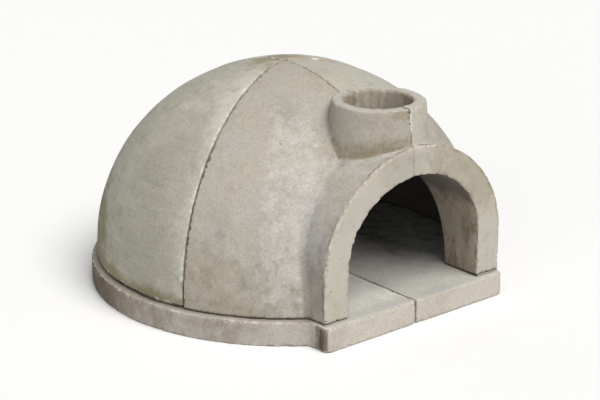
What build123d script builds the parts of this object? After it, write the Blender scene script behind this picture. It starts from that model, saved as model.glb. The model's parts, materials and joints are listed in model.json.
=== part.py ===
from build123d import *
import os
from math import atan2, cos, radians, sin, tan

# Wood fired pizza oven cast in refractory concrete, in millimetres.
# Six castings (four dome segments and two hearth halves) stand on each other with thin mortar joints.
# +Z is up, the entrance faces -Y and +X is on the right of a person who faces it. Everything is drawn
# round the dome's upright axis, and at the end moved so that the origin lies on the ground at the middle
# of the footprint.

os.makedirs("parts", exist_ok=True)

# Hearth slab: a disc with a straight-fronted landing
HEARTH_RADIUS = 480
HEARTH_THICKNESS = 58
LANDING_FRONT = 456          # from the dome's axis to the landing's front edge
LANDING_CENTRE_X = 8         # the hand-made moulds are not quite symmetric
LANDING_HALF_WIDTH = 277
LANDING_CORNER_R = 12
HEARTH_INSIDE_CORNER_R = 10  # hollow corner where the landing leaves the disc
HEARTH_EDGE_R = 4
HEARTH_GAP = 4.5             # open joint between the two halves

# Dome
DOME_RADIUS = 465.5
DOME_HEIGHT = 474            # crown above the hearth
DOME_STILT = 25              # upright foot below the curve
DOME_SHOULDER_R = 440
DOME_WALL = 45
JOINT_MEETING_Y = 15         # the four segments meet here, a little behind the dome's axis
SIDE_JOINT_ANGLE = 68.5      # from the front round to the joint between a front and a rear segment

# Entrance arch: a barrel that runs out of the dome to a flat face
ARCH_FRONT = 440             # from the dome's axis to the arch's face
ARCH_CENTRE_X = 11           # of the arch and its mouth
ARCH_HALF_WIDTH = 273
ARCH_HEIGHT = 360            # above the hearth
ARCH_STILT = 105
ARCH_SHOULDER_R = 230
ARCH_TO_DOME_R = 14          # hollow curve where the barrel leaves the dome
ARCH_EDGE_R = 5
ARCH_LIP_RADIUS = 394        # the barrel's inner end follows a ball of this radius round the dome's middle
ARCH_BACK = 255              # the barrel's roof ends here, over the middle of the flue's bore
MOUTH_HALF_WIDTH = 201
MOUTH_HEIGHT = 291
MOUTH_STILT = 117
MOUTH_SHOULDER_R = 150
MOUTH_EDGE_R = 3

# Flue collar over the entrance
FLUE_CENTRE_X = 3
FLUE_CENTRE_Y = -316
FLUE_BORE_R = 78
COLLAR_TOP_R = 108
COLLAR_TOP_Z = 504           # above the ground
COLLAR_FOOT_Z = 375          # inside the dome's wall and the arch's roof
COLLAR_DRAFT = 6             # degrees, wider towards the foot
COLLAR_FOOT_R = 4            # hollow curve round the foot
COLLAR_EDGE_R = 2

# Mortar
JOINT_WIDTH = 3
BED_THICKNESS = 3
MORTAR_RECESS = 5            # the mortar's face lies this far behind the concrete
CROWN_MORTAR_R = 8           # fills the space between the blunt tips of the four segments
CROWN_MORTAR_FOOT = 400      # inside the chamber, under the dome's crown

FAR = 700                    # reaches beyond the whole oven
SMALL = 0.5                  # tolerance for finding edges by their place
HEARTH_TOP = HEARTH_THICKNESS
DOME_FOOT = HEARTH_TOP + BED_THICKNESS
FRONT, REAR = -90, 90        # degrees round from +X


def rounded_arch(half_width, height, stilt, shoulder_r):
    """Upright sides, a shoulder arc on each, and a flatter crown arc tangent to both, as a face in XZ."""
    rise = height - stilt
    inset = half_width - shoulder_r
    crown_r = (inset**2 + rise**2 - shoulder_r**2) / (2 * (rise - shoulder_r))
    lean = atan2(stilt - (height - crown_r), inset)

    def on_shoulder(side, angle):
        return (side * (inset + shoulder_r * cos(angle)), stilt + shoulder_r * sin(angle))

    outline = Polyline((-half_width, stilt), (-half_width, 0), (half_width, 0), (half_width, stilt))
    outline += ThreePointArc((half_width, stilt), on_shoulder(1, lean / 2), on_shoulder(1, lean))
    outline += ThreePointArc(on_shoulder(1, lean), (0, height), on_shoulder(-1, lean))
    outline += ThreePointArc(on_shoulder(-1, lean), on_shoulder(-1, lean / 2), (-half_width, stilt))
    return make_face(outline.edges())


def barrel(half_width, height, stilt, shoulder_r, front, back):
    """An arched bar that stands on the hearth and runs along Y from front to back."""
    section = Plane.XZ * rounded_arch(half_width, height, stilt, shoulder_r)
    return extrude(Pos(ARCH_CENTRE_X, front, HEARTH_TOP) * section, amount=front - back)


def arch_solid(inset, back):
    """The entrance arch's outside moved inwards by inset, without its mouth."""
    half_width = ARCH_HALF_WIDTH - inset
    height = ARCH_HEIGHT - inset
    return barrel(half_width, height, ARCH_STILT, ARCH_SHOULDER_R - inset, -ARCH_FRONT + inset, back)


def dome_solid(inset):
    """The dome's outside moved inwards by inset, as a solid that stands on the hearth."""
    centre_x = DOME_RADIUS - DOME_SHOULDER_R
    rise = DOME_HEIGHT - DOME_STILT
    crown_r = (centre_x**2 + rise**2 - DOME_SHOULDER_R**2) / (2 * (rise - DOME_SHOULDER_R))
    crown_z = rise - crown_r
    lean = atan2(-crown_z, centre_x)
    shoulder_r = DOME_SHOULDER_R - inset

    def on_shoulder(angle):
        return (centre_x + shoulder_r * cos(angle), shoulder_r * sin(angle))

    def on_crown(angle):
        return ((crown_r - inset) * cos(angle), crown_z + (crown_r - inset) * sin(angle))

    apex = (0, crown_z + crown_r - inset)
    outline = Polyline(apex, (0, -DOME_STILT), (DOME_RADIUS - inset, -DOME_STILT), on_shoulder(0))
    outline += ThreePointArc(on_shoulder(0), on_shoulder(lean / 2), on_shoulder(lean))
    outline += ThreePointArc(on_shoulder(lean), on_crown((lean + radians(90)) / 2), apex)
    profile = Pos(0, 0, HEARTH_TOP + DOME_STILT) * (Plane.XZ * make_face(outline.edges()))
    return revolve(profile, Axis.Z)


def above(z):
    """Everything above a level."""
    return Pos(0, 0, z + FAR) * Box(2 * FAR, 2 * FAR, 2 * FAR)


def dome_and_arch(inset):
    """The outside of the dome and the entrance arch, blended into each other, without hollows."""
    face_y = -ARCH_FRONT + inset
    behind_face = Pos(0, face_y + FAR, 0) * Box(2 * FAR, 2 * FAR, 2 * FAR)
    body = (dome_solid(inset) & behind_face) + arch_solid(inset, 0)

    def meets_dome(edge):
        middle = edge.center()
        clear = middle.Y > face_y + SMALL and middle.Z > HEARTH_TOP + SMALL
        upright = edge.geom_type == GeomType.LINE and abs(edge.tangent_at(0.5).Z) > 0.9
        return clear and (upright or edge.geom_type == GeomType.BSPLINE)

    return fillet([edge for edge in body.edges() if meets_dome(edge)], ARCH_TO_DOME_R)


def collar(inset):
    """The flue collar as a full cone that starts inside the dome's wall."""
    height = COLLAR_TOP_Z - inset - COLLAR_FOOT_Z
    top_r = COLLAR_TOP_R - inset
    foot_r = top_r + height * tan(radians(COLLAR_DRAFT))
    return Pos(FLUE_CENTRE_X, FLUE_CENTRE_Y, COLLAR_FOOT_Z + height / 2) * Cone(foot_r, top_r, height)


def outside(inset):
    """Dome, arch and collar with a hollow curve round the collar's foot."""
    body = dome_and_arch(inset) + collar(inset)
    below_top = COLLAR_TOP_Z - inset - SMALL
    rings = [edge for face in body.faces().filter_by(GeomType.CONE) for edge in face.edges()
             if abs(edge.tangent_at(0.5).Z) < 0.9]
    return fillet([edge for edge in rings if edge.center().Z < below_top], COLLAR_FOOT_R)


def hollows(inset):
    """The chamber, the way in through the arch and the flue's bore, grown by inset."""
    lip = arch_solid(inset, -ARCH_BACK - inset) - Pos(0, 0, HEARTH_TOP) * Sphere(ARCH_LIP_RADIUS + inset)
    chamber = dome_solid(DOME_WALL - inset) - lip
    mouth = barrel(MOUTH_HALF_WIDTH + inset, MOUTH_HEIGHT + inset, MOUTH_STILT, MOUTH_SHOULDER_R + inset,
                   -FAR, -ARCH_BACK + DOME_WALL)
    bore_foot = HEARTH_TOP + MOUTH_HEIGHT / 2
    bore = Pos(FLUE_CENTRE_X, FLUE_CENTRE_Y, bore_foot + FAR / 2) * Cylinder(FLUE_BORE_R + inset, FAR)
    return chamber + mouth + bore


def shell(inset):
    """Dome, arch and collar as one wall, with every visible face moved inwards by inset."""
    return outside(inset) - hollows(inset)


def on_arch_face(edge):
    return abs(edge.center().Y + ARCH_FRONT) < SMALL and edge.center().Z > DOME_FOOT + SMALL


def on_arch_outline(edge):
    """Is the edge of the arch's face nearer its outside than its mouth?"""
    point = edge.position_at(0.5)
    across = 2 * (point.X - ARCH_CENTRE_X) / (MOUTH_HALF_WIDTH + ARCH_HALF_WIDTH)
    up = 2 * (point.Z - HEARTH_TOP) / (MOUTH_HEIGHT + ARCH_HEIGHT)
    return across**2 + up**2 > 1


def on_collar_top(edge):
    return edge.geom_type == GeomType.CIRCLE and abs(edge.center().Z - COLLAR_TOP_Z) < SMALL


def worn_shell():
    """The shell above its mortar bed, with rounded edges on the arch's face and the collar's top."""
    body = shell(0) & above(DOME_FOOT)
    body = fillet([e for e in body.edges() if on_arch_face(e) and on_arch_outline(e)], ARCH_EDGE_R)
    body = fillet([e for e in body.edges() if on_arch_face(e) and not on_arch_outline(e)], MOUTH_EDGE_R)
    return fillet([e for e in body.edges() if on_collar_top(e)], COLLAR_EDGE_R)


def joint(angle):
    """The space of one joint: an upright leaf from where the segments meet, angle degrees round from +X."""
    return Pos(0, JOINT_MEETING_Y, 0) * Rot(0, 0, angle) * Pos(FAR / 2, 0, 0) * Box(FAR, JOINT_WIDTH, 2 * FAR)


def crown_core():
    """The round space between the segments' tips, from inside the chamber up through the crown."""
    return Pos(0, JOINT_MEETING_Y, CROWN_MORTAR_FOOT + FAR / 2) * Cylinder(CROWN_MORTAR_R, FAR)


def dome_segments():
    """The four castings of the dome, parted by the joints and by the mortar at the crown."""
    body = worn_shell() - crown_core()
    for angle in (FRONT, REAR, FRONT - SIDE_JOINT_ANGLE, FRONT + SIDE_JOINT_ANGLE):
        body -= joint(angle)
    segments = {}
    for solid in body.solids():
        middle = solid.center()
        end = "front" if middle.Y < 0 else "rear"
        side = "left" if middle.X < 0 else "right"
        segments[f"dome_{end}_{side}"] = solid
    return segments


def mortar():
    """The mortar of the joints, of the crown and of the bed, each run a piece of its own."""
    body = shell(MORTAR_RECESS)
    upright = (body & above(DOME_FOOT)) - crown_core()
    bed = body - above(DOME_FOOT) - joint(FRONT) - joint(REAR)
    arch_crown, flue_to_crown = (upright & joint(FRONT)).solids().sort_by(Axis.Y)
    left_bed, right_bed = bed.solids().sort_by(Axis.X)
    return {
        "arch_crown_mortar": arch_crown,
        "flue_to_crown_mortar": flue_to_crown,
        "left_joint_mortar": upright & joint(FRONT - SIDE_JOINT_ANGLE),
        "right_joint_mortar": upright & joint(FRONT + SIDE_JOINT_ANGLE),
        "rear_joint_mortar": upright & joint(REAR),
        "crown_mortar": body & crown_core(),
        "bed_mortar_left": left_bed,
        "bed_mortar_right": right_bed,
    }


def upright_corners(slab, corner_y):
    """The slab's upright edges at the landing's sides whose place passes the given test."""
    return [edge for edge in slab.edges().filter_by(Axis.Z)
            if abs(abs(edge.center().X - LANDING_CENTRE_X) - LANDING_HALF_WIDTH) < SMALL
            and corner_y(edge.center().Y)]


def hearth_halves():
    """The disc with its landing, parted along the oven's middle."""
    landing = Pos(LANDING_CENTRE_X, -LANDING_FRONT / 2) * Rectangle(2 * LANDING_HALF_WIDTH, LANDING_FRONT)
    in_front = Pos(0, -LANDING_FRONT - FAR / 2) * Rectangle(2 * FAR, FAR)
    slab = extrude(Circle(HEARTH_RADIUS) + landing - in_front, amount=HEARTH_THICKNESS)
    slab = fillet(upright_corners(slab, lambda y: y < -LANDING_FRONT + SMALL), LANDING_CORNER_R)
    hollow_corners = upright_corners(slab, lambda y: y > -LANDING_FRONT + LANDING_CORNER_R + SMALL)
    slab = fillet(hollow_corners, HEARTH_INSIDE_CORNER_R)
    flat_faces = slab.faces().sort_by(Axis.Z)
    slab = fillet(flat_faces[0].edges() + flat_faces[-1].edges(), HEARTH_EDGE_R)
    left, right = (slab - Box(HEARTH_GAP, 2 * FAR, 2 * FAR)).solids().sort_by(Axis.X)
    return {"hearth_left": left, "hearth_right": right}


to_footprint_middle = Pos(0, (LANDING_FRONT - HEARTH_RADIUS) / 2, 0)
for node, piece in {**dome_segments(), **mortar(), **hearth_halves()}.items():
    export_step(to_footprint_middle * piece, f"parts/{node}.step")
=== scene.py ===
import itertools
import json
import math
from types import SimpleNamespace

import bpy
import numpy as np
from mathutils import Matrix, Vector


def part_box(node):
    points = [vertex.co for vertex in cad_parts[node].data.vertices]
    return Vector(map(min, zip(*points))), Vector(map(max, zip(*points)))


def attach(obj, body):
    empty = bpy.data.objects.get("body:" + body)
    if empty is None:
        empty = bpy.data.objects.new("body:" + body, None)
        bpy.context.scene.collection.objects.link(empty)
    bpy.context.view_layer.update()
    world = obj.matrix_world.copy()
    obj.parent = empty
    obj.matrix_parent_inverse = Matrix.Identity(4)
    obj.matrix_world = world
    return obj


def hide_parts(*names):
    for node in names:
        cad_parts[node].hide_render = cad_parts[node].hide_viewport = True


# A wood fired pizza oven of cast refractory concrete, in metres. Each CAD piece is replaced by a mesh of the
# same shape with the waves, worn and chipped edges and pits of hand-cast concrete. The meshes carry masks,
# from 0 to 1, as attributes, and the four procedural materials read them.

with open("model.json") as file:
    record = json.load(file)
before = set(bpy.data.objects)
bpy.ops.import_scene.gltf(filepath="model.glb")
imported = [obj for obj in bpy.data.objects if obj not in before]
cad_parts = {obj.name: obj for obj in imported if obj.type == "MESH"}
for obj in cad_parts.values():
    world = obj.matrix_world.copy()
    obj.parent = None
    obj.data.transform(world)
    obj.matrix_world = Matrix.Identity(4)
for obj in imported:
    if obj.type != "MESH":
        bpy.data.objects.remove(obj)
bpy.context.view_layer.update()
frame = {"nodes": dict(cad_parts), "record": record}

# ---------------------------------------------------------------- places, from the frame
MOUNTS = {mount["name"]: mount for mount in frame["record"]["mounts"]}
SLOTS = {row["node"]: row["material_slot"] for row in frame["record"]["subparts"]}
DOME_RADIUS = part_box("dome_rear_right")[1][0]
AXIS_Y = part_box("dome_rear_right")[1][1] - DOME_RADIUS              # the dome's upright axis
HEARTH_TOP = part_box("hearth_left")[1][2]
HUB = np.array((0, AXIS_Y, HEARTH_TOP))                             # the middle of the chamber's floor
DOME_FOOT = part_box("dome_rear_left")[0][2]
ARCH_FACE_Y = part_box("dome_front_left")[0][1]
LANDING_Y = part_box("hearth_left")[0][1]
FLUE = Vector(MOUNTS["flue_socket"]["pos_m"][:2])
FLUE_R = MOUNTS["flue_socket"]["dims"]["r_mm"] / 1000
COLLAR_TOP = MOUNTS["collar_top"]["pos_m"][2]
MEETING_Y = sum(corner[1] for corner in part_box("crown_mortar")) / 2  # here the four segments meet
LEFT_JOINT_FOOT = Vector(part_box("left_joint_mortar")[0][:2])
SIDE_JOINT_LEAN = math.atan2(MEETING_Y - LEFT_JOINT_FOOT.y, -LEFT_JOINT_FOOT.x)

# what the frame doesn't say, as in the part's source
COLLAR_R, COLLAR_DRAFT = 0.108, math.tan(math.radians(6))           # at the collar's top; wider further down
ARCH_X = 0.011
ARCH = {"half_width": 0.273, "height": 0.360, "stilt": 0.105, "shoulder": 0.230}
MOUTH = {"half_width": 0.201, "height": 0.291, "stilt": 0.117, "shoulder": 0.150}
BEHIND_FACE_Y = -0.42                                               # clear of the arch's face and its edge
TUNNEL_END_Y, BARREL_END_Y = -0.245, -0.25                          # where they open into and leave the dome
ACROSS_MIDDLE = (1, 0, 0)                                           # out of the joints in the plane x = 0


# ---------------------------------------------------------------- camera, light and floor
def towards(azimuth, elevation):
    """The direction from the object to azimuth, in degrees round from -Y, and elevation."""
    turn, lift = math.radians(azimuth), math.radians(elevation)
    return Vector((math.sin(turn) * math.cos(lift), -math.cos(turn) * math.cos(lift), math.sin(lift)))


def camera(azimuth, elevation, distance, aim_right, aim_up, lens):
    """Looks at the dome's axis, aimed aim_right and aim_up beside its foot."""
    back = towards(azimuth, elevation)
    right = Vector((math.cos(math.radians(azimuth)), math.sin(math.radians(azimuth)), 0))
    up = back.cross(right)
    place = Vector((0, AXIS_Y, 0)) + right * aim_right + up * aim_up + back * distance
    data = bpy.data.cameras.new("camera")
    data.lens, data.sensor_width = lens, 36
    data.clip_end = 100
    obj = bpy.data.objects.new("camera", data)
    obj.matrix_world = Matrix.Translation(place) @ Matrix((right, up, back)).transposed().to_4x4()
    bpy.context.scene.collection.objects.link(obj)
    bpy.context.scene.camera = obj


def sun(name, azimuth, elevation, strength, spread, colour):
    """A distant soft lamp; spread is the angle that it fills, in degrees."""
    data = bpy.data.lights.new(name, "SUN")
    data.energy, data.angle, data.color = strength, math.radians(spread), colour
    obj = bpy.data.objects.new(name, data)
    obj.rotation_euler = towards(azimuth, elevation).to_track_quat("Z", "Y").to_euler()
    bpy.context.scene.collection.objects.link(obj)


def studio_light():
    world = bpy.data.worlds.new("studio")
    world.use_nodes = True
    sky = world.node_tree.nodes["Background"]
    sky.inputs["Color"].default_value = (0.93, 0.96, 1.0, 1)
    sky.inputs["Strength"].default_value = 0.18
    bpy.context.scene.world = world
    sun("key", azimuth=0, elevation=62, strength=3.15, spread=45, colour=(1.0, 0.985, 0.955))
    sun("fill", azimuth=-60, elevation=16, strength=0.85, spread=60, colour=(0.97, 0.985, 1.0))


def studio_floor(reach=14):
    mesh = bpy.data.meshes.new("floor")
    mesh.from_pydata([(x * reach, y * reach, 0) for x, y in ((-1, -1), (1, -1), (1, 1), (-1, 1))], [],
                     [(0, 1, 2, 3)])
    floor = bpy.data.objects.new("floor", mesh)
    bpy.context.scene.collection.objects.link(floor)
    paper = bpy.data.materials.new("studio_floor")
    paper.use_nodes = True
    shader = paper.node_tree.nodes["Principled BSDF"]
    shader.inputs["Base Color"].default_value = (0.88, 0.88, 0.88, 1)
    shader.inputs["Roughness"].default_value = 0.9
    mesh.materials.append(paper)


camera(azimuth=-40.2, elevation=18.8, distance=4.409, aim_right=0.0295, aim_up=0.1715, lens=107)
studio_light()
studio_floor()
bpy.context.scene.view_settings.view_transform = "Standard"


# ---------------------------------------------------------------- seeded noise
def gradient_noise(points, size, seed):
    """Smooth noise in about -1..1 at each point that changes over the given size."""
    rng = np.random.default_rng(seed)
    order = rng.permutation(256)
    slopes = rng.normal(size=(256, 3))
    slopes /= np.linalg.norm(slopes, axis=1)[:, None]
    scaled = points / size + rng.uniform(0, 256, 3)
    cell = np.floor(scaled).astype(np.int64)
    part = scaled - cell
    fade = part**3 * (part * (part * 6 - 15) + 10)
    total = np.zeros(len(points))
    for corner in itertools.product((0, 1), repeat=3):
        x, y, z = (cell + corner).T & 255
        hashed = order[(order[(order[x] + y) & 255] + z) & 255]
        weight = np.prod(np.where(corner, fade, 1 - fade), axis=1)
        total += weight * np.einsum("ij,ij->i", slopes[hashed], part - corner)
    return total * 1.6


def layered_noise(points, size, octaves, seed):
    """Gradient noise with octaves added that are each half as strong and half the size, still about -1..1."""
    total, reach = np.zeros(len(points)), 0
    for octave in range(octaves):
        strength = 0.5**octave
        total += strength * gradient_noise(points, size / 2**octave, seed + octave)
        reach += strength
    return total / reach * 1.3


def smoothstep(value, low, high):
    """0 below low, 1 above high and a smooth rise between; low may be the larger one."""
    t = np.clip((value - low) / (high - low), 0, 1)
    return t * t * (3 - 2 * t)


# ---------------------------------------------------------------- meshes
class Surface:
    """A piece's vertices, edges and normals as arrays, with the moves that make it look cast and worn."""

    def __init__(self, node, voxel, thin=None, thickening=1):
        """Remesh the piece evenly; a leaf is thickened along its thin direction meanwhile."""
        source = frame["nodes"][node]
        holder = bpy.data.objects.new(node + "_cast", source.data.copy())
        bpy.context.scene.collection.objects.link(holder)
        swell = Matrix.Identity(4) if thin is None else Matrix.Scale(thickening, 4, Vector(thin))
        holder.data.transform(swell)
        remesh = holder.modifiers.new("remesh", "REMESH")
        remesh.mode, remesh.voxel_size, remesh.use_smooth_shade = "VOXEL", voxel, True
        graph = bpy.context.evaluated_depsgraph_get()
        mesh = bpy.data.meshes.new_from_object(holder.evaluated_get(graph))
        holder.modifiers.clear()
        holder.data = mesh
        mesh.transform(swell.inverted())
        mesh.materials.clear()
        self.node, self.obj, self.mesh = node, holder, mesh
        self.count = len(mesh.vertices)
        flat = np.empty(self.count * 3, np.float32)
        mesh.vertices.foreach_get("co", flat)
        self.co = flat.reshape(-1, 3).astype(float)
        pairs = np.empty(len(mesh.edges) * 2, np.int32)
        mesh.edges.foreach_get("vertices", pairs)
        self.pairs = pairs.reshape(-1, 2)
        self.valence = np.bincount(self.pairs.ravel(), minlength=self.count)
        corners = np.empty(len(mesh.loops), np.int32)
        mesh.loops.foreach_get("vertex_index", corners)
        self.quads = corners.reshape(-1, 4)

    def neighbour_mean(self, values):
        """The mean over each vertex's neighbours, of a column or of coordinates."""
        start, end = self.pairs.T
        totals = [np.bincount(start, column[end], self.count) + np.bincount(end, column[start], self.count)
                  for column in values.reshape(self.count, -1).T]
        return (np.stack(totals, axis=1) / self.valence[:, None]).reshape(values.shape)

    def smoothed(self, values, rounds):
        for _ in range(rounds):
            values = (values + self.neighbour_mean(values)) / 2
        return values

    def normals(self):
        a, b, c, d = (self.co[self.quads[:, i]] for i in range(4))
        crossed = np.cross(c - a, d - b)
        total = np.stack([np.bincount(self.quads.ravel(), np.repeat(crossed[:, i], 4), self.count)
                          for i in range(3)], axis=1)
        return total / np.maximum(np.linalg.norm(total, axis=1), 1e-12)[:, None]

    def push(self, amount):
        """Move each vertex outwards along the smoothed surface normal."""
        direction = self.smoothed(self.normals(), 2)
        direction /= np.linalg.norm(direction, axis=1)[:, None]
        self.co = self.co + direction * amount[:, None]

    def convexity(self, rounds):
        """How far each vertex stands out of the surface around it: edges positive, hollows negative."""
        return np.einsum("ij,ij->i", self.co - self.smoothed(self.co, rounds), self.normals())

    def wear(self, amount, rounds):
        """Round the edges where amount, 0 to 1, is high, as chips and rubbing do."""
        worn = self.smoothed(self.co, rounds)
        self.co = self.co + (worn - self.co) * np.clip(amount, 0, 1)[:, None]

    def dent(self, rng, number, radius, depth, where):
        """Round hollows at random places where the mask is set; returns how deep in one each vertex lies."""
        places = rng.choice(np.flatnonzero(where), number)
        facing = self.normals()
        hollow = np.zeros(self.count)
        for place in places:
            size = radius * rng.uniform(0.6, 1.4)
            away = np.linalg.norm(self.co - self.co[place], axis=1) / size
            close = away < 1
            inwards = -facing[place] * depth * rng.uniform(0.4, 1.2)
            bowl = (1 - away[close] ** 2) ** 2
            self.co[close] += inwards * bowl[:, None]
            hollow[close] = np.maximum(hollow[close], bowl)
        return hollow

    def mark(self, **masks):
        """Keep each mask as an attribute for the materials."""
        for name, values in masks.items():
            layer = self.mesh.attributes.new(name, "FLOAT", "POINT")
            layer.data.foreach_set("value", np.clip(values, 0, 1).astype(np.float32))

    def finish(self):
        """Put the vertices in place and hand the piece over in its material."""
        self.mesh.vertices.foreach_set("co", self.co.astype(np.float32).ravel())
        self.mesh.update()
        self.mesh.materials.append(MATERIALS[SLOTS[self.node]])
        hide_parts(self.node)
        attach(self.obj, "root")


def side_joint_normal(side):
    """Points backwards out of the side joint on the left (-1) or right (1)."""
    return (side * math.sin(SIDE_JOINT_LEAN), math.cos(SIDE_JOINT_LEAN), 0)


def joint_distance(points, side):
    """Signed distance to the side joint's plane on the left (-1) or right (1), positive behind it."""
    return (points - (0, MEETING_Y, 0)) @ np.array(side_joint_normal(side))


def azimuth(points):
    """Degrees round the dome's axis, 0 at the front and up to 180 at the back on both sides."""
    return np.degrees(np.arctan2(np.abs(points[:, 0]), AXIS_Y - points[:, 1]))


def from_axis(points):
    """Distance in plan from the dome's axis."""
    return np.hypot(points[:, 0], points[:, 1] - AXIS_Y)


def from_meeting(points):
    """Distance in plan from the place where the segments meet."""
    return np.hypot(points[:, 0], points[:, 1] - MEETING_Y)


def from_flue_axis(points):
    """Distance in plan from the flue's axis."""
    return np.hypot(points[:, 0] - FLUE.x, points[:, 1] - FLUE.y)


def from_outline(points, half_width, height, stilt, shoulder):
    """Signed distance in the face's plane to the arch's or the mouth's outline, positive outside it."""
    inset, rise = half_width - shoulder, height - stilt
    crown_r = (inset**2 + rise**2 - shoulder**2) / (2 * (rise - shoulder))
    crown_z = rise - crown_r
    x, z = np.abs(points[:, 0] - ARCH_X), points[:, 2] - HEARTH_TOP - stilt
    on_shoulder = np.arctan2(z, x - inset) < math.atan2(-crown_z, inset)
    curved = np.where(on_shoulder, np.hypot(x - inset, z) - shoulder, np.hypot(x, z - crown_z) - crown_r)
    return np.where(z < 0, x - half_width, curved)


def inside_chamber(surface):
    """1 on the faces that look at the chamber, 0 on the outside."""
    inwards = HUB - surface.co
    reach = np.linalg.norm(inwards, axis=1)
    facing = np.einsum("ij,ij->i", surface.smoothed(surface.normals(), 3), inwards) / reach
    return smoothstep(facing, -0.2, 0.3) * smoothstep(reach, DOME_RADIUS - 0.008, DOME_RADIUS - 0.022)


def close_middle_joint(surface, amount):
    """Bring the faces of a joint in the plane x = 0 nearer to that plane."""
    x = surface.co[:, 0]
    facing = np.abs(surface.normals() @ np.array(ACROSS_MIDDLE))
    at_joint = smoothstep(facing, 0.6, 0.9) * (np.abs(x) < 0.004)
    surface.co -= np.outer(np.sign(x) * at_joint * amount, ACROSS_MIDDLE)


def uneven(points, seed, wave=0.0014, lump=0.0005, grain=0.00018):
    """How far a hand-cast face stands out of its true shape at each point."""
    relief = wave * layered_noise(points, 0.22, 2, seed)
    relief += lump * layered_noise(points, 0.045, 2, seed + 10)
    return relief + grain * layered_noise(points, 0.011, 2, seed + 20)


def cast(surface, seed, **sizes):
    """The uneven faces and softly rounded edges that every casting has; returns the faces' relief."""
    surface.wear(np.ones(surface.count), 1)
    relief = uneven(surface.co, seed, **sizes)
    surface.push(relief)
    return relief


def chip(surface, seed, rng, bare, nicks):
    """Knock pieces off the edges here and there; returns how bare, chipped and nicked each vertex is."""
    sharp = smoothstep(surface.convexity(6), 0.00025, 0.0009)
    patchy = smoothstep(layered_noise(surface.co, 0.022, 3, seed), 0.60 - bare, 1.0 - bare)
    chipped = patchy * surface.smoothed(sharp, 1)
    surface.wear(chipped, 5)
    nicked = surface.dent(rng, nicks, radius=0.0060, depth=0.0018,
                          where=(sharp > 0.5) & (inside_chamber(surface) < 0.5))
    return sharp * smoothstep(layered_noise(surface.co, 0.02, 3, seed + 5), -0.3, 0.5), chipped, nicked


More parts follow.
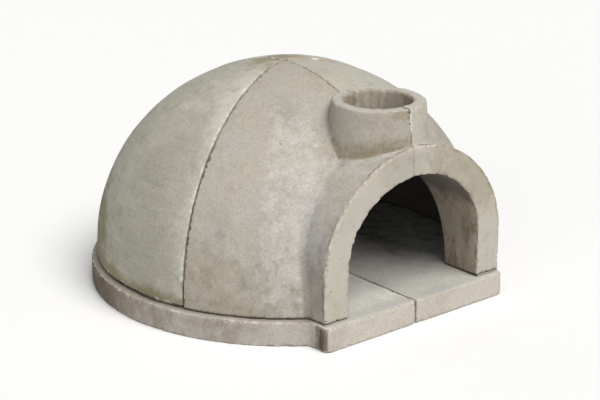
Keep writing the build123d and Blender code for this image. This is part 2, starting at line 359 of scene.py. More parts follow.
# ---------------------------------------------------------------- materials
class Stone:
    """A procedural concrete built up in layers. Masks are sockets from 0 to 1; sizes are in metres."""

    def __init__(self, name):
        self.material = bpy.data.materials.new(name)
        self.material.use_nodes = True
        self.tree = self.material.node_tree
        self.surface = self.tree.nodes["Principled BSDF"]
        self.place = self.tree.nodes.new("ShaderNodeTexCoord").outputs["Object"]
        self.colour = self.height = None

    def node(self, kind, inputs, **settings):
        """Add a node; each input is linked if it is a socket and set if it is a number or a vector."""
        node = self.tree.nodes.new("ShaderNode" + kind)
        for name, value in settings.items():
            setattr(node, name, value)
        for key, value in inputs.items():
            if isinstance(value, bpy.types.NodeSocket):
                self.tree.links.new(value, node.inputs[key])
            else:
                node.inputs[key].default_value = value
        return node

    def math(self, operation, a, b):
        return self.node("Math", {0: a, 1: b}, operation=operation).outputs[0]

    def both(self, a, b):
        return self.math("MULTIPLY", a, b)

    def band(self, value, low, high):
        """0 below low, 1 above high and smooth between; low may be the larger one."""
        ramp = self.node("MapRange", {"Value": value, "From Min": low, "From Max": high},
                         interpolation_type="SMOOTHSTEP")
        return ramp.outputs["Result"]

    def noise(self, size, detail=4, rough=0.55, stretch=(1, 1, 1), shift=0):
        place = self.node("VectorMath", {0: self.place, 1: stretch}, operation="MULTIPLY").outputs[0]
        place = self.node("VectorMath", {0: place, 1: (shift, -shift, shift / 2)}, operation="ADD").outputs[0]
        texture = self.node("TexNoise", {"Vector": place, "Scale": 1 / size, "Detail": detail,
                                         "Roughness": rough})
        return texture.outputs["Fac"]

    def blotches(self, low, high, size, detail=4, rough=0.55, stretch=(1, 1, 1), shift=0):
        """Patches of noise, from 0 where it is below low to 1 where it is above high."""
        return self.band(self.noise(size, detail, rough, stretch, shift), low, high)

    def mask(self, name):
        """The mask of the given name that the mesh carries."""
        return self.node("Attribute", {}, attribute_name=name).outputs["Fac"]

    def patchy(self, name, texture, spread=0.45, low=0.62, high=0.86):
        """The mask of the given name, broken up by a texture."""
        return self.band(self.math("ADD", texture, self.both(self.mask(name), spread)), low, high)

    def pinholes(self, spacing, radius, share, shift=0):
        """Small round holes in a share of the cells of a grid with the given spacing."""
        place = self.node("VectorMath", {0: self.place, 1: (shift, shift, shift)}, operation="ADD").outputs[0]
        cells = self.node("TexVoronoi", {"Vector": place, "Scale": 1 / spacing})
        lot = self.node("SeparateColor", {0: cells.outputs["Color"]}).outputs[0]
        chosen = self.math("LESS_THAN", lot, share)
        near = self.band(cells.outputs["Distance"], radius / spacing, radius / spacing * 0.5)
        return self.both(near, chosen)

    def base(self, tone_a, tone_b, mask):
        mix = self.node("Mix", {0: mask, 6: (*tone_a, 1), 7: (*tone_b, 1)}, data_type="RGBA")
        self.colour = mix.outputs[2]

    def lay(self, mask, tone, strength=1.0, blend="MIX"):
        """Lay a tone over the colour where the mask is."""
        inputs = {0: self.both(mask, strength), 6: self.colour, 7: (*tone, 1)}
        mix = self.node("Mix", inputs, data_type="RGBA", blend_type=blend)
        self.colour = mix.outputs[2]

    def tint(self, mask, tone, strength=1.0):
        """Multiply the colour by a tone where the mask is."""
        self.lay(mask, tone, strength, "MULTIPLY")

    def raise_by(self, texture, amount):
        """Add a texture to the bump height, in metres."""
        step = self.both(texture, amount)
        self.height = step if self.height is None else self.math("ADD", self.height, step)

    def finish(self, roughness):
        bump = self.node("Bump", {"Strength": 1.0, "Distance": 1.0, "Height": self.height})
        self.tree.links.new(bump.outputs["Normal"], self.surface.inputs["Normal"])
        self.tree.links.new(self.colour, self.surface.inputs["Base Color"])
        rough = self.node("MapRange", {"Value": self.noise(0.02, 3), "From Min": 0.3, "From Max": 0.7,
                                       "To Min": roughness - 0.06, "To Max": roughness + 0.05})
        self.tree.links.new(rough.outputs["Result"], self.surface.inputs["Roughness"])
        self.surface.inputs["Specular IOR Level"].default_value = 0.3
        return self.material


def weathered(stone, shift):
    """Mottling and sand grain, which all the concretes and the mortar share."""
    mottle_dark, mottle_light, blotch_dark = (0.80, 0.79, 0.77), (1.16, 1.15, 1.13), (0.82, 0.80, 0.77)
    grain_dark, grain_light = (0.70, 0.68, 0.65), (1.20, 1.19, 1.17)
    stone.tint(stone.blotches(0.52, 0.68, 0.09, 6, 0.6, shift=shift), mottle_dark, 0.55)
    stone.tint(stone.blotches(0.55, 0.70, 0.035, 6, 0.65, shift=shift + 3), mottle_light, 0.6)
    stone.tint(stone.blotches(0.56, 0.72, 0.016, 5, 0.7, shift=shift + 5), blotch_dark, 0.5)
    grain = stone.noise(0.0055, 4, 0.75, shift=shift + 7)
    stone.tint(stone.band(grain, 0.50, 0.34), grain_dark, 0.55)
    stone.tint(stone.band(grain, 0.52, 0.68), grain_light, 0.55)
    stone.raise_by(grain, 0.0009)
    stone.raise_by(stone.noise(0.0018, 3, 0.6), 0.0003)
    stone.raise_by(stone.noise(0.02, 4, 0.6, shift=shift + 9), 0.0016)


def aged(stone, shift, soot_tone):
    """Pinholes painted dark as the shade in them, bare and chipped edges, grime with painted shade in the
    hollows, and soot, which is partly painted shadow on the hearth's floor; these lie over the rest of each
    concrete.
    """
    pinhole, bare_edge = (0.10, 0.085, 0.07), (0.60, 0.555, 0.50)
    chip_tone, grime = (0.42, 0.35, 0.28), (0.10, 0.08, 0.06)
    holes = stone.math("MAXIMUM", stone.pinholes(spacing=0.021, radius=0.0014, share=0.30, shift=shift),
                       stone.pinholes(spacing=0.034, radius=0.0026, share=0.12, shift=3))
    # pinholes painted dark, as the shade inside them
    stone.lay(holes, pinhole, 0.75)
    stone.raise_by(holes, -0.0012)
    fine = stone.noise(0.010, 5, 0.7, shift=shift + 11)
    stone.lay(stone.patchy("bare", fine, 0.40, 0.60, 0.85), bare_edge, 0.75)
    stone.lay(stone.patchy("chipped", fine, 0.45, 0.70, 0.90), chip_tone, 0.55)
    # grime, and painted shade, in the hollows and along the foot
    stone.lay(stone.patchy("grime", fine, 0.55, 0.66, 0.92), grime, 0.85)
    smoke = stone.noise(0.05, 6, 0.65, stretch=(1, 1, 0.6), shift=shift + 13)
    stone.lay(stone.patchy("soot", smoke, 0.75, 0.55, 1.0), soot_tone, 0.96)


def arch_edge_line(stone):
    """A broken line of painted shadow round the barrel just behind the arch's face, as if the face stood out
    as a lip.
    """
    line_tone = (0.13, 0.11, 0.09)
    along = stone.node("SeparateXYZ", {0: stone.place}).outputs["Y"]
    wavy = stone.math("ADD", along, stone.both(stone.math("SUBTRACT", stone.noise(0.03, 3), 0.5), 0.006))
    line = stone.both(stone.band(wavy, ARCH_FACE_Y + 0.0045, ARCH_FACE_Y + 0.0060),
                      stone.band(wavy, ARCH_FACE_Y + 0.0090, ARCH_FACE_Y + 0.0070))
    on_barrel = stone.both(line, stone.mask("barrel"))
    stone.lay(stone.both(on_barrel, stone.blotches(0.38, 0.52, 0.05)), line_tone, 0.8)


def front_stone():
    """Warm grey: pale bloom beside the entrance, a smooth face, a smoky tunnel and streaks in the bore."""
    warm, cool = (0.412, 0.375, 0.315), (0.405, 0.385, 0.342)
    bloom_shade, bloom_tone = (0.93, 0.925, 0.93), (0.60, 0.57, 0.55)
    pale_fleck, dark_fleck = (0.70, 0.67, 0.65), (0.29, 0.27, 0.265)
    barrel_tint, left_wall_shade = (0.99, 1.005, 1.03), (0.67, 0.65, 0.625)
    face_tone, face_blotch, pit = (0.515, 0.480, 0.412), (0.84, 0.83, 0.80), (0.16, 0.13, 0.10)
    scuff, dusk, olive = (0.70, 0.69, 0.66), (0.80, 0.775, 0.71), (0.62, 0.56, 0.42)
    smoke, rusty_smoke, tunnel_shade = (0.62, 0.58, 0.52), (0.62, 0.54, 0.47), (0.83, 0.76, 0.69)
    bore_tint, streak = (1.10, 1.06, 1.03), (0.80, 0.77, 0.74)
    pale_tint, ring_tone, nick_tone = (1.12, 1.15, 1.14), (0.50, 0.475, 0.43), (0.33, 0.255, 0.195)

    stone = Stone("front_concrete")
    stone.base(warm, cool, stone.blotches(0.40, 0.62, 0.20, 5))
    weathered(stone, 1)
    cloud = stone.noise(0.030, 8, 0.80, shift=21)
    stone.tint(stone.mask("bloom"), bloom_shade)
    stone.lay(stone.patchy("bloom", cloud, 0.35, 0.62, 0.84), bloom_tone, 0.35)
    flecks = stone.math("ADD", stone.both(cloud, 0.6), stone.both(stone.noise(0.0060, 4, 0.8, shift=31), 0.9))
    stone.lay(stone.both(stone.mask("bloom"), stone.band(flecks, 0.78, 0.88)), pale_fleck, 0.34)
    stone.lay(stone.both(stone.mask("bloom"), stone.band(flecks, 0.70, 0.62)), dark_fleck, 0.26)
    stone.tint(stone.mask("barrel"), barrel_tint, 0.8)
    # painted shade low on the barrel's left side, in the crease beside the collar and on the collar's left
    # face
    stone.tint(stone.mask("left_wall"), left_wall_shade)
    stone.lay(stone.mask("face"), face_tone, 0.75)
    blotches = stone.blotches(0.52, 0.70, 0.03, 6, 0.65, shift=41)
    stone.tint(stone.both(stone.mask("face"), blotches), face_blotch, 0.7)
    stone.tint(stone.patchy("scuffed", stone.noise(0.022, 7, 0.75, shift=45), 0.35, 0.62, 0.84), scuff, 0.42)
    stone.tint(stone.patchy("dusky", stone.noise(0.025, 6, 0.7, shift=47), 0.75, 0.60, 1.10), dusk)
    # pits in the face, painted dark as the shade inside them
    pits = stone.both(stone.mask("face"), stone.pinholes(spacing=0.015, radius=0.0017, share=0.30, shift=0.4))
    stone.lay(pits, pit, 0.7)
    stone.raise_by(pits, -0.0010)
    stone.tint(stone.patchy("stain", stone.noise(0.04, 6, 0.62, shift=51), 0.5, 0.62, 0.95), olive, 0.85)
    upright = stone.blotches(0.44, 0.64, 0.05, 6, 0.7, (1, 1, 0.45), 61)
    stone.tint(stone.both(stone.mask("tunnel"), upright), smoke, 0.8)
    upright = stone.blotches(0.48, 0.66, 0.030, 7, 0.72, (1, 1, 0.55), 65)
    stone.tint(stone.both(stone.mask("tunnel"), upright), rusty_smoke, 0.8)
    stone.tint(stone.mask("tunnel"), tunnel_shade)
    streaks = stone.noise(0.012, 4, 0.6, (1, 1, 0.12), 71)
    stone.tint(stone.mask("bore"), bore_tint)
    stone.tint(stone.both(stone.mask("bore"), stone.band(streaks, 0.45, 0.62)), streak, 0.8)
    # the right casting's paler top and collar
    stone.tint(stone.mask("pale"), pale_tint)
    stone.lay(stone.mask("ring"), ring_tone, 0.75)
    # a painted shadow line behind the arch's face
    arch_edge_line(stone)
    aged(stone, 2, soot_tone=(0.125, 0.110, 0.094))
    stone.lay(stone.mask("nicked"), nick_tone, 0.6)
    return stone.finish(0.90)


def rear_stone():
    """Greener grey with long trowel marks, pale dust beside the joints and olive stains low down."""
    dark, light = (0.345, 0.331, 0.272), (0.405, 0.389, 0.328)
    trowel_light, trowel_dark = (1.18, 1.17, 1.14), (0.82, 0.83, 0.78)
    bloom_tone, olive, nick_tone = (0.60, 0.575, 0.52), (0.62, 0.57, 0.42), (0.66, 0.64, 0.59)

    stone = Stone("rear_concrete")
    stone.base(dark, light, stone.blotches(0.40, 0.62, 0.22, 5, shift=2))
    weathered(stone, 101)
    trowel = stone.noise(0.16, 6, 0.6, (1, 1, 9), 111)
    stone.tint(stone.band(trowel, 0.52, 0.66), trowel_light, 0.6)
    stone.tint(stone.blotches(0.55, 0.68, 0.14, 6, 0.62, (1, 1, 12), 121), trowel_dark, 0.55)
    stone.raise_by(trowel, 0.0015)
    dust = stone.noise(0.016, 7, 0.78, shift=131)
    stone.lay(stone.patchy("bloom", dust, 0.45, 0.52, 1.05), bloom_tone, 0.55)
    cloud = stone.noise(0.05, 6, 0.62, shift=141)
    stone.tint(stone.patchy("stain", cloud, 0.5, 0.62, 0.98), olive, 0.9)
    aged(stone, 102, soot_tone=(0.118, 0.104, 0.089))
    stone.lay(stone.mask("nicked"), nick_tone, 0.75)
    return stone.finish(0.88)


def hearth_stone():
    """Pinker grey, with a smooth floor that is sooty at the back, with painted shadow there and painted light
    at the front of its left half, and a rubbed and stained rim with painted shade on its left, its ledge and
    its back.
    """
    dark, light = (0.386, 0.352, 0.322), (0.428, 0.398, 0.367)
    floor_tone, face_tone, stain_tone = (0.50, 0.49, 0.455), (0.535, 0.495, 0.427), (0.62, 0.57, 0.51)
    dull_shade, flute_shade, flute_streak = (0.53, 0.49, 0.45), (0.50, 0.46, 0.42), (0.40, 0.35, 0.30)
    rubbed, pale_tint = (0.60, 0.47, 0.41), (1.36, 1.38, 1.39)
    char, nick_tone = (0.19, 0.185, 0.17), (0.40, 0.31, 0.26)

    stone = Stone("hearth_concrete")
    stone.base(dark, light, stone.blotches(0.40, 0.62, 0.16, 5, shift=4))
    stone.lay(stone.mask("floor"), floor_tone, 0.9)
    stone.lay(stone.mask("face"), face_tone, 0.85)
    weathered(stone, 201)
    cloud = stone.noise(0.03, 6, 0.68, (1, 1, 0.7), 211)
    # stains, and painted shade on the rim's left half
    stone.tint(stone.patchy("stain", cloud, 0.5, 0.60, 1.02), stain_tone, 0.9)
    # painted shade on the rim's ledge and back
    stone.tint(stone.mask("dull"), dull_shade)
    stone.tint(stone.mask("fluted"), flute_shade)
    runs = stone.blotches(0.48, 0.60, 0.007, 3, 0.6, (0.3, 1, 0.07), 231)
    stone.tint(stone.both(stone.mask("fluted"), runs), flute_streak, 0.9)
    patches = stone.blotches(0.54, 0.62, 0.012, 5, 0.7, shift=221)
    stone.lay(stone.both(stone.mask("bare"), patches), rubbed, 0.7)
    # painted light on the front of the floor's left half
    stone.tint(stone.mask("pale"), pale_tint)
    # soot on the floor, partly painted shadow
    aged(stone, 202, soot_tone=(0.50, 0.49, 0.46))
    # char in patches over the floor's soot and painted shadow
    patches = stone.blotches(0.46, 0.62, 0.040, 8, 0.72, shift=241)
    stone.lay(stone.both(stone.mask("soot"), patches), char, 0.65)
    stone.lay(stone.mask("nicked"), nick_tone, 0.55)
    return stone.finish(0.88)


def mortar_stone():
    """Dark where it is set back, and tan, grey, white or like the arch's face where it is filled."""
    dark, light = (0.15, 0.125, 0.10), (0.22, 0.185, 0.145)
    tan, grey, white = (0.47, 0.39, 0.29), (0.40, 0.365, 0.31), (0.78, 0.76, 0.72)
    face_tone, face_blotch, soot_tone = (0.455, 0.425, 0.365), (0.78, 0.77, 0.74), (0.03, 0.025, 0.02)

    stone = Stone("joint_mortar")
    stone.base(dark, light, stone.blotches(0.40, 0.62, 0.03))
    weathered(stone, 301)
    stone.lay(stone.mask("tan"), tan, 0.95)
    stone.lay(stone.mask("grey"), grey, 0.95)
    stone.lay(stone.patchy("white", stone.noise(0.006, 3, 0.6, shift=311), 0.35, 0.70, 0.84), white, 0.95)
    stone.lay(stone.mask("face"), face_tone)
    blotches = stone.blotches(0.36, 0.52, 0.022, 7, 0.75, shift=45)
    stone.tint(stone.both(stone.mask("face"), blotches), face_blotch, 0.8)
    stone.lay(stone.mask("soot"), soot_tone, 0.95)
    return stone.finish(0.92)


MATERIALS = {
    "front_concrete": front_stone(), "rear_concrete": rear_stone(),
    "hearth_concrete": hearth_stone(), "joint_mortar": mortar_stone(),
}


# ---------------------------------------------------------------- pieces
FRONT_VOXEL, REAR_VOXEL, HEARTH_VOXEL, LEAF_VOXEL, PLUG_VOXEL = 0.0030, 0.0038, 0.0032, 0.0030, 0.0015
FIRST_SEED, SEED_STEP, CHIP_SEED = 10, 50, 30
FRONT_SEED = 10      # the two front castings share their relief, so that it runs on across the filled joint
RIM_SEED, MOUTH_SEED, SOOT_SEED, BLOTCH_SEED = 77, 81, 5, 6


def from_collar(from_flue, z):
    """How far outside the collar's drafted side a point is, from its distance to the flue's axis."""
    return from_flue - COLLAR_R - (COLLAR_TOP - z) * COLLAR_DRAFT


def shape_front(surface):
    """A front casting's hand-made shape; returns the distance to the flue's axis before the rim was bent."""
    # the joint over the entrance, level at the crown of the arch's face and nearly closed
    relief = cast(surface, FRONT_SEED)
    x, y, z = surface.co.T
    filled = smoothstep(y, FLUE.y + FLUE_R, FLUE.y + FLUE_R - 0.02)
    crown_face = (z > HEARTH_TOP + MOUTH["height"] + 0.002) & (z < HEARTH_TOP + ARCH["height"] - 0.003)
    beside_joint = (y < ARCH_FACE_Y + 0.005) & (np.abs(x) < 0.009) & crown_face
    surface.co[:, 1] = np.where(beside_joint, ARCH_FACE_Y - relief, y)
    close_middle_joint(surface, 0.0005 + 0.0008 * filled)
    foot = smoothstep(z, DOME_FOOT + 0.012, DOME_FOOT) * smoothstep(y, BEHIND_FACE_Y, BEHIND_FACE_Y + 0.02)
    surface.co[:, 2] -= 0.0014 * foot

    # the collar's rim
    from_flue = from_flue_axis(surface.co)
    at_rim = smoothstep(z, COLLAR_TOP - 0.035, COLLAR_TOP - 0.004)
    at_rim *= smoothstep(from_collar(from_flue, z), 0.012, 0.004)
    outwards = (surface.co[:, :2] - tuple(FLUE)) / from_flue[:, None]
    wobble = 0.0028 * layered_noise(surface.co, 0.055, 2, RIM_SEED) * at_rim
    surface.co[:, :2] += outwards * wobble[:, None]
    surface.co[:, 2] += 0.0015 * layered_noise(surface.co, 0.05, 2, RIM_SEED + 1) * at_rim

    # the mouth's rough edge
    at_mouth = smoothstep(from_outline(surface.co, **MOUTH), 0.014, 0.004) * smoothstep(y, -0.425, -0.445)
    surface.push(0.0026 * layered_noise(surface.co, 0.024, 3, MOUTH_SEED) * at_mouth)

    # a softer hollow where the barrel's roof leaves the dome
    x, y, z = surface.co.T
    from_arch = from_outline(surface.co, **ARCH)
    hollow = smoothstep(np.abs(from_arch - 0.004), 0.030, 0.010) * smoothstep(z, 0.20, 0.30)
    hollow *= (y > BEHIND_FACE_Y) & (from_flue_axis(surface.co) > FLUE_R + 0.02)
    surface.wear(hollow, 14)
    return from_flue


def front_regions(surface, side, from_flue):
    """Masks of a front casting's regions, and the distance to the arch's outline."""
    y, z = surface.co[:, 1], surface.co[:, 2]
    normals = surface.smoothed(surface.normals(), 1)
    from_arch, from_mouth = from_outline(surface.co, **ARCH), from_outline(surface.co, **MOUTH)
    face = smoothstep(normals[:, 1], -0.45, -0.85) * smoothstep(y, ARCH_FACE_Y + 0.010, ARCH_FACE_Y + 0.005)
    face *= from_arch < 0.004
    tunnel = smoothstep(from_mouth, 0.016, 0.008) * (y < TUNNEL_END_Y) * (1 - face)
    inside = inside_chamber(surface) * (1 - tunnel)
    bore = smoothstep(from_flue, FLUE_R + 0.010, FLUE_R + 0.004) * (z > 0.36)
    collar = smoothstep(from_collar(from_flue, z), 0.007, 0.003) * smoothstep(from_arch, 0.001, 0.004)
    collar *= 1 - bore
    ring = collar * smoothstep(normals[:, 2], 0.55, 0.85)
    ring *= smoothstep(z, COLLAR_TOP - 0.010, COLLAR_TOP - 0.004)
    outside = (1 - inside) * (1 - tunnel) * (1 - bore)
    barrel = outside * smoothstep(from_arch, 0.014, 0.004) * (1 - face) * (1 - collar) * (y < BARREL_END_Y)
    # where painted shade darkens the barrel's left side low down
    left_wall = barrel * (side < 0) * smoothstep(z, 0.36, 0.14)
    return SimpleNamespace(face=face, tunnel=tunnel, inside=inside, bore=bore, collar=collar, ring=ring,
                           outside=outside, barrel=barrel, left_wall=left_wall, from_arch=from_arch)


def front_piece(node, side, seed):
    """A front casting, with half of the entrance and half of the collar."""
    surface = Surface(node, FRONT_VOXEL)
    rng = np.random.default_rng(seed)
    from_flue = shape_front(surface)
    bare, chipped, nicked = chip(surface, seed + CHIP_SEED, rng, bare=0.16, nicks=240)
    at = front_regions(surface, side, from_flue)
    turn = azimuth(surface.co)
    surface.dent(rng, 26, radius=0.012, depth=0.0009, where=at.outside > 0.5)
    x, y, z = surface.co.T
    left, to_right = side < 0, smoothstep(x, 0.015, 0.085)
    left_collar = at.collar * left

    # pale bloom beside the entrance and on the barrel's roof, and a paler right half at the top
    bloom = at.outside * smoothstep(np.abs(turn - 37), 19, 5) * (1 - at.face) * (0.8 if left else 0.5)
    bloom *= smoothstep(from_axis(surface.co), 0.16, 0.30)
    bloom = np.maximum(bloom, 0.6 * at.barrel * smoothstep(z, 0.30, 0.38))
    pale = (not left) * at.outside * np.maximum(at.collar, smoothstep(z, 0.40, 0.48))

    # olive stains at the collar's foot, under its rim by the joint, at the skirt and round the arch's edge
    stain = 0.75 * left_collar * smoothstep(at.from_arch, 0.060, 0.012)
    stain += 0.7 * left_collar * smoothstep(x, -0.065, -0.020) * smoothstep(z, 0.462, 0.492) * (1 - at.ring)
    stain += 0.25 * at.outside * smoothstep(z, 0.22, 0.10) * (1 - at.face)
    stain += 0.7 * at.face * smoothstep(at.from_arch, -0.016, -0.003) * to_right * smoothstep(z, 0.10, 0.20)

    # a dusky skirt and right half of the face, and scuffs at the face's crown and legs
    dusky = 0.50 * at.outside * (1 - at.face) * (1 - at.collar)
    dusky *= smoothstep(z, 0.34, 0.14) * smoothstep(turn, 31, 47)
    dusky += 0.70 * at.face * to_right * smoothstep(z, 0.16, 0.28)
    scuffed = at.face * smoothstep(np.hypot(x + 0.03, (z - 0.375) * 1.6), 0.12, 0.04)
    scuffed = np.maximum(scuffed, 0.45 * at.face * smoothstep(z, 0.30, 0.10))

    # grime and painted shade in the hollows and along the foot, and painted shade in the crease beside the
    # collar
    filled_joint = (np.abs(x) < 0.012) & (y < FLUE.y - FLUE_R)
    grime = smoothstep(-surface.convexity(4), 0.00025, 0.0011) * at.outside * (1 - filled_joint)
    grime = np.maximum(grime, smoothstep(z, DOME_FOOT + 0.005, DOME_FOOT + 0.001))
    beside_collar = smoothstep(z, 0.40, 0.43) * smoothstep(y, FLUE.y - 0.09, FLUE.y - 0.03)
    beside_collar *= at.outside * left
    grime *= 1 - 0.6 * beside_collar
    crease = smoothstep(-surface.convexity(28), 0.0006, 0.0032) * beside_collar
    # painted shade on the left: low on the barrel, in the crease and on the collar's face
    shaded = np.maximum(at.left_wall, np.maximum(0.65 * crease, 0.16 * left_collar * (1 - at.ring)))

    # soot in the chamber, under the tunnel's roof and low in the bore
    soot = np.maximum(at.inside, at.tunnel * smoothstep(z, 0.21, 0.30))
    soot = np.maximum(soot, at.bore * smoothstep(z, 0.42, 0.36))
    edge_shows = 1 - filled_joint * at.face
    bare *= edge_shows * at.outside
    chipped *= edge_shows * (1 - at.inside)
    nicked *= (1 - filled_joint) * (1 - at.inside)
    surface.mark(bare=bare, chipped=chipped, bloom=bloom, stain=stain, grime=grime, soot=soot, face=at.face,
                 barrel=np.maximum(at.barrel, 0.7 * left_collar), tunnel=at.tunnel, bore=at.bore,
                 left_wall=shaded, ring=at.ring, nicked=nicked, scuffed=scuffed, dusky=dusky, pale=pale)
    surface.finish()


def rear_piece(node, side, seed):
    """Lies a little lower than the front castings at the joint between them, on a raised and uneven foot."""
    surface = Surface(node, REAR_VOXEL)
    rng = np.random.default_rng(seed)
    cast(surface, seed, wave=0.0018)
    surface.push(-0.0022 * smoothstep(joint_distance(surface.co, side), 0.09, 0.0))
    close_middle_joint(surface, 0.0005)
    lift = 0.0035 * smoothstep(layered_noise(surface.co, 0.09, 3, seed + 3), -0.5, 0.6)
    lift *= smoothstep(from_axis(surface.co), DOME_RADIUS - 0.026, DOME_RADIUS - 0.010)
    surface.co[:, 2] += lift * smoothstep(surface.co[:, 2], DOME_FOOT + 0.035, DOME_FOOT)
    bare, chipped, nicked = chip(surface, seed + CHIP_SEED, rng, bare=0.22, nicks=220)
    inside = inside_chamber(surface)
    turn = azimuth(surface.co)
    surface.dent(rng, 30, radius=0.014, depth=0.0009, where=inside < 0.5)
    z = surface.co[:, 2]
    from_joint = joint_distance(surface.co, side)
    bloom = 0.75 * smoothstep(from_joint, 0.060, 0.004) + 0.60 * smoothstep(z, 0.39, 0.49)
    stain = smoothstep(turn, 88, 125) * smoothstep(z, 0.36, 0.14) * (1 - 0.45 * smoothstep(turn, 120, 150))
    stain += smoothstep(z, 0.11, 0.065)
    stain += 0.7 * smoothstep(from_meeting(surface.co), 0.13, 0.05)
    # grime and painted shade in the hollows and along the dome's foot
    grime = np.maximum(smoothstep(-surface.convexity(4), 0.0003, 0.0012),
                       smoothstep(z, DOME_FOOT + 0.012, DOME_FOOT + 0.002))
    outside = 1 - inside
    surface.mark(bare=bare * outside, chipped=chipped * outside, bloom=bloom * outside, stain=stain,
                 grime=grime * outside, soot=inside, nicked=nicked * outside)
    surface.finish()


def hearth_piece(node, side, seed):
    """Half of the slab, with flutes down the landing's side."""
    surface = Surface(node, HEARTH_VOXEL)
    rng = np.random.default_rng(seed)
    cast(surface, seed, wave=0.0010, lump=0.0006)
    x, y, z = surface.co.T
    normals = surface.smoothed(surface.normals(), 1)
    fluted = smoothstep(np.abs(normals[:, 0]), 0.45, 0.80) * smoothstep(y, -0.425, -0.435) * (np.abs(x) > 0.2)
    flutes = np.abs(layered_noise(surface.co * (0.3, 1, 0.10), 0.014, 2, seed + 7))
    surface.push(-0.0035 * fluted * flutes)
    bare, chipped, nicked = chip(surface, seed + CHIP_SEED, rng, bare=0.22, nicks=240)
    surface.dent(rng, 26, radius=0.010, depth=0.0009, where=np.abs(normals[:, 2]) < 0.5)

    x, y, z = surface.co.T
    turn, radius = azimuth(surface.co), from_axis(surface.co)
    floor = smoothstep(normals[:, 2], 0.6, 0.9) * (z > HEARTH_TOP - 0.01)
    face = smoothstep(normals[:, 1], -0.6, -0.9) * (y < LANDING_Y + 0.012)
    rim = (1 - floor) * (1 - face)

    # soot and painted shadow on the floor, which deepen towards the back and the right
    depth = y + 0.76 * x + 0.04 * layered_noise(surface.co, 0.07, 3, SOOT_SEED)
    soot = 0.45 * smoothstep(depth, -0.25, -0.15) + 0.55 * smoothstep(depth, -0.15, 0.04)
    soot *= floor * smoothstep(radius, 0.448, 0.434)

    # stains on the rim, blotched all round, painted shade on its left half, and painted shade on the ledge
    # and the back
    blotched = 0.6 * smoothstep(layered_noise(surface.co, 0.10, 3, BLOTCH_SEED), 0.0, 0.6)
    # painted shade on the rim's left half, stronger further round
    shaded = 0.55 * smoothstep(turn, 40, 58) + 0.40 * smoothstep(turn, 80, 100)
    shaded *= (side < 0) * smoothstep(turn, 165, 135)
    # painted shade on the ledge, which faces up, and on the back of the rim
    ledge = floor * smoothstep(radius, 0.453, 0.464) * smoothstep(y, -0.43, -0.40)
    back_begins = 88 if side < 0 else 125
    back = rim * (1 - fluted) * smoothstep(turn, back_begins, back_begins + 16)
    # painted light on the front of the floor's left half, which lies in the arch's shade
    pale = floor * (side < 0) * smoothstep(y, -0.45, -0.38)
    # grime and painted shade in the hollows
    grime = smoothstep(-surface.convexity(4), 0.0003, 0.0012)
    surface.mark(bare=bare, chipped=chipped, stain=rim * np.maximum(blotched, shaded), grime=grime, soot=soot,
                 floor=floor, nicked=nicked * (1 - floor), pale=pale, face=face, fluted=fluted,
                 dull=np.maximum(ledge, back))
    surface.finish()


LEAF_NORMALS = {
    "arch_crown_mortar": ACROSS_MIDDLE, "flue_to_crown_mortar": ACROSS_MIDDLE,
    "rear_joint_mortar": ACROSS_MIDDLE,
    "left_joint_mortar": side_joint_normal(-1), "right_joint_mortar": side_joint_normal(1),
    "bed_mortar_left": (0, 0, 1), "bed_mortar_right": (0, 0, 1),
}
CROWN_FILL = {"left_joint_mortar": (0.085, 0.05), "right_joint_mortar": (0.16, 0.11)}    # its reach in plan
PLUG = "crown_mortar"


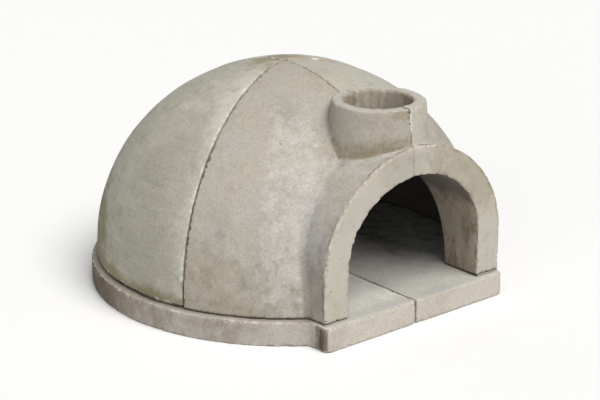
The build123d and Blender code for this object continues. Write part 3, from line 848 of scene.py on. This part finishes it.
def mortar_piece(node, seed, thin, voxel, thickening):
    """A leaf of mortar; where it is filled it comes forward to the faces of the castings beside it."""
    surface = Surface(node, voxel, thin, thickening)
    x, y, z = surface.co.T
    normals = surface.normals()
    across = np.array(thin or (0, 0, 0))
    in_leaf = normals - np.outer(normals @ across, across)
    away = surface.co - HUB
    reach = np.linalg.norm(away, axis=1)
    outer = smoothstep(np.einsum("ij,ij->i", in_leaf, away) / reach, 0.35, 0.7)
    inner = smoothstep(np.einsum("ij,ij->i", normals, away) / reach, -0.2, -0.6)

    # where it is filled: the arch's face and roof, the collar, the bore, round the crown and in patches
    from_flue = from_flue_axis(surface.co)
    face = smoothstep(normals[:, 1], -0.4, -0.8) * (y < ARCH_FACE_Y + 0.02)
    face *= z < HEARTH_TOP + ARCH["height"] + 0.001
    collar = outer * (y < FLUE.y - FLUE_R - 0.008) * smoothstep(z, 0.425, 0.435)
    roof = outer * smoothstep(y, FLUE.y - FLUE_R, FLUE.y - FLUE_R - 0.01) * smoothstep(z, 0.435, 0.425)
    bore = smoothstep(from_flue, FLUE_R + 0.014, FLUE_R + 0.009) * smoothstep(z, 0.34, 0.36)
    crown = np.zeros(surface.count)
    if node in CROWN_FILL:
        crown = smoothstep(from_meeting(surface.co), *CROWN_FILL[node])
    patches = smoothstep(layered_noise(surface.co, 0.035, 3, seed), 0.35, 0.75)
    bead = collar * smoothstep(np.abs(z - 0.470), 0.032, 0.016)
    fill = np.clip(crown + 0.55 * patches * outer + collar + roof + face, 0, 1) * (node != PLUG)

    # forward to the faces, with their relief, and into the bore
    rough = 0.0006 * layered_noise(surface.co, 0.008, 2, seed + 1)
    forward = 0.0050 * fill + 0.0004 * face + 0.0010 * bead + 0.0022 * crown + rough
    forward += uneven(surface.co, FRONT_SEED) * np.maximum(fill, crown)
    forward *= np.maximum(outer, face)
    towards_flue = np.stack([0 * x, FLUE.y - y, 0 * x], axis=1) / np.maximum(from_flue, 1e-6)[:, None]
    surface.co += in_leaf * forward[:, None]
    surface.co += towards_flue * (0.0048 * bore * (thin == ACROSS_MIDDLE))[:, None]

    # sideways over the edges of an upright joint, most where it is smeared round the crown
    if across[2] == 0:
        smear = crown * outer * (2.4 + 1.8 * layered_noise(surface.co, 0.012, 2, seed + 3))
        beside = (surface.co - (0, MEETING_Y, 0)) @ across
        surface.co += np.outer(beside * (0.6 * (collar + roof + 0.5 * face) + smear), across)

    grey = np.clip(roof + bore + collar * smoothstep(np.abs(z - 0.468), 0.034, 0.024), 0, 1)
    lime = smoothstep(layered_noise(surface.co, 0.012, 2, seed + 4), 0, 0.5)
    surface.mark(tan=np.maximum(crown, patches) * outer * (1 - face) * (1 - grey), grey=grey,
                 white=bead + 0.8 * crown * lime, face=face, soot=inner * (1 - bore))
    surface.finish()


seed = FIRST_SEED
for kind, make in (("dome_front", front_piece), ("dome_rear", rear_piece), ("hearth", hearth_piece)):
    for name, side in (("left", -1), ("right", 1)):
        make(f"{kind}_{name}", side, seed)
        seed += SEED_STEP
for node, thin in LEAF_NORMALS.items():
    mortar_piece(node, seed, thin, LEAF_VOXEL, thickening=5)
    seed += SEED_STEP
mortar_piece(PLUG, seed, None, PLUG_VOXEL, thickening=1)
